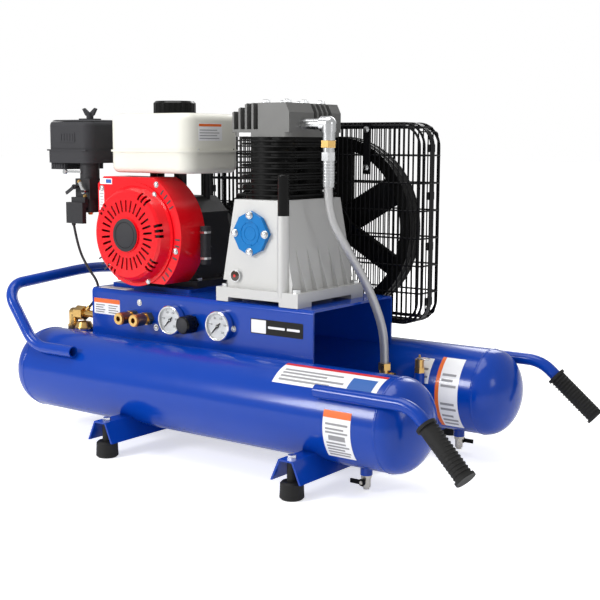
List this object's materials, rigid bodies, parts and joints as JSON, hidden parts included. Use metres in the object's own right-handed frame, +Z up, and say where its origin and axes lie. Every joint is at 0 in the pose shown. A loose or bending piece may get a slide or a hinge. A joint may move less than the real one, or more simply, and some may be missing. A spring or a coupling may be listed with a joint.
{
  "type": "air compressor",
  "caption": "Twin-tank portable air compressor: petrol engine drives a belt-driven piston pump on a blue steel deck with carry bar, push handles and belt guard.",
  "frame": {"origin": "on the floor, under the middle of the whole object's box", "axes": "+X from the carry bar to the push handles, -Y the front panel's side, +Z up"},
  "size_m": [1.0401, 0.5548, 0.634],
  "materials": {
    "belt_rubber": "cloth covered",
    "black_iron": "satin black paint on cast iron",
    "black_metal": "satin black coating",
    "black_plastic": "moulded satin",
    "blue_paint": "glossy royal blue powder coat",
    "braided_steel": "woven braid",
    "brass": "machined",
    "cast_aluminium": "blasted casting",
    "chrome": "bright",
    "dark_aluminium": "dark painted casting",
    "nickel": "nickel plate",
    "red_paint": "glossy red enamel",
    "rubber": "moulded matt",
    "sky_paint": "satin sky blue paint",
    "steel": "machined",
    "white_paint": "glossy off-white enamel",
    "zinc": "bright zinc plate"
  },
  "bodies": {
    "frame": {"air_cleaner_base": "black_plastic", "air_cleaner_cover": "black_plastic", "carburetor": "dark_aluminium", "carry_bar": "blue_paint", "check_valve": "brass", "coupler_bodies": "brass", "deck": "blue_paint", "discharge_fittings": "zinc", "discharge_hose": "braided_steel", "drain_valve_bodies": "nickel", "drive_belts": "belt_rubber", "engine_crankcase": "dark_aluminium", "engine_cylinder": "dark_aluminium", "engine_slide_plate": "blue_paint", "fan_shroud": "red_paint", "foot_rails": "blue_paint", "front_tank": "blue_paint", "fuel_tank": "white_paint", "gauge_cases": "chrome", "guard_front": "black_metal", "guard_rear": "black_metal", "handle_grips": "rubber", "intake_filter": "black_plastic", "mounting_bolts": "zinc", "muffler": "black_metal", "outlet_manifold": "zinc", "outlet_pipework": "brass", "pump_bearing_cover": "sky_paint", "pump_breather": "black_plastic", "pump_crankcase": "cast_aluminium", "pump_cylinder_block": "black_iron", "pump_head": "cast_aluminium", "pump_pistons": "cast_aluminium", "pump_sight_glass": "brass", "push_handles": "blue_paint", "rear_tank": "blue_paint", "recoil_cover": "red_paint", "rubber_feet": "rubber", "safety_valve_body": "brass", "tank_crossover": "brass", "throttle_cable": "black_plastic"},
    "pump_shaft": {"pump_crankshaft": "steel", "pump_flywheel": "black_iron"},
    "engine_shaft": {"engine_crankshaft": "steel", "engine_fan": "cast_aluminium"},
    "front_rod": {"front_connecting_rod": "cast_aluminium"},
    "rear_rod": {"rear_connecting_rod": "cast_aluminium"},
    "starter_grip": {"starter_grip": "black_plastic"},
    "fuel_cap": {"fuel_cap": "black_plastic"},
    "wing_nut": {"air_cleaner_wing_nut": "black_plastic"},
    "choke_lever": {"choke_lever": "black_plastic"},
    "throttle_lever": {"throttle_lever": "black_metal"},
    "regulator_knob": {"regulator_knob": "black_plastic"},
    "tank_needle": {"tank_gauge_needle": "black_metal"},
    "outlet_needle": {"outlet_gauge_needle": "black_metal"},
    "left_sleeve": {"left_coupler_sleeve": "brass"},
    "right_sleeve": {"right_coupler_sleeve": "brass"},
    "front_drain": {"front_drain_lever": "black_metal"},
    "rear_drain": {"rear_drain_lever": "black_metal"},
    "safety_ring": {"safety_valve_ring": "zinc"}
  },
  "joints": [
    {"name": "pump_spin", "type": "hinge", "parent": "frame", "child": "pump_shaft", "pos_m": [0.0156, 0.155, 0.401], "axis": [0, 1, 0], "continuous": true},
    {"name": "engine_spin", "type": "hinge", "parent": "frame", "child": "engine_shaft", "pos_m": [-0.2604, 0.155, 0.386], "axis": [0, 1, 0], "continuous": true},
    {"name": "front_rod_swing", "type": "hinge", "parent": "pump_shaft", "child": "front_rod", "pos_m": [0.0156, -0.0505, 0.421], "axis": [0, 1, 0], "continuous": true},
    {"name": "rear_rod_swing", "type": "hinge", "parent": "pump_shaft", "child": "rear_rod", "pos_m": [0.0156, 0.0255, 0.381], "axis": [0, 1, 0], "continuous": true},
    {"name": "starter_pull", "type": "slide", "parent": "frame", "child": "starter_grip", "axis": [0.2999, -0.9298, 0.2132], "range_m": [0, 0.6], "stiffness_N_per_m": 20, "springref_m": -0.2},
    {"name": "fuel_cap_turn", "type": "hinge", "parent": "frame", "child": "fuel_cap", "pos_m": [-0.2384, -0.03, 0.62], "axis": [0, 0, 1], "range_deg": [0, 90]},
    {"name": "wing_nut_turn", "type": "hinge", "parent": "frame", "child": "wing_nut", "pos_m": [-0.4529, -0.045, 0.61], "axis": [0, 0, 1], "range_deg": [0, 1080]},
    {"name": "choke_turn", "type": "hinge", "parent": "frame", "child": "choke_lever", "pos_m": [-0.4314, -0.1115, 0.47], "axis": [0, 1, 0], "range_deg": [0, 60]},
    {"name": "throttle_turn", "type": "hinge", "parent": "frame", "child": "throttle_lever", "pos_m": [-0.4054, -0.1115, 0.462], "axis": [0, 1, 0], "range_deg": [0, 50]},
    {"name": "regulator_turn", "type": "hinge", "parent": "frame", "child": "regulator_knob", "pos_m": [-0.1134, -0.14, 0.232], "axis": [0, 1, 0], "range_deg": [-720, 720]},
    {"name": "tank_needle_turn", "type": "hinge", "parent": "frame", "child": "tank_needle", "pos_m": [-0.1574, -0.138, 0.2355], "axis": [0, 1, 0], "range_deg": [0, 270], "stiffness_Nm_per_rad": 0.0005, "springref_deg": -11.46},
    {"name": "outlet_needle_turn", "type": "hinge", "parent": "frame", "child": "outlet_needle", "pos_m": [-0.0434, -0.138, 0.2355], "axis": [0, 1, 0], "range_deg": [0, 270], "stiffness_Nm_per_rad": 0.0005, "springref_deg": -11.46},
    {"name": "left_sleeve_slide", "type": "slide", "parent": "frame", "child": "left_sleeve", "axis": [0, 1, 0], "range_m": [0, 0.005], "stiffness_N_per_m": 1500, "springref_m": -0.003},
    {"name": "right_sleeve_slide", "type": "slide", "parent": "frame", "child": "right_sleeve", "axis": [0, 1, 0], "range_m": [0, 0.005], "stiffness_N_per_m": 1500, "springref_m": -0.003},
    {"name": "front_drain_turn", "type": "hinge", "parent": "frame", "child": "front_drain", "pos_m": [0.2836, -0.166, 0.018], "axis": [0, 1, 0], "range_deg": [0, 90]},
    {"name": "rear_drain_turn", "type": "hinge", "parent": "frame", "child": "rear_drain", "pos_m": [0.2836, 0.166, 0.018], "axis": [0, -1, 0], "range_deg": [0, 90]},
    {"name": "safety_ring_pull", "type": "slide", "parent": "frame", "child": "safety_ring", "axis": [0, 0, 1], "range_m": [0, 0.004], "stiffness_N_per_m": 500, "springref_m": -0.004}
  ],
  "couplings": [
    {"joint": "engine_spin", "follows": "pump_spin", "ratio": 4.492},
    {"joint": "front_rod_swing", "follows": "pump_spin", "ratio": -1},
    {"joint": "rear_rod_swing", "follows": "pump_spin", "ratio": -1}
  ]
}
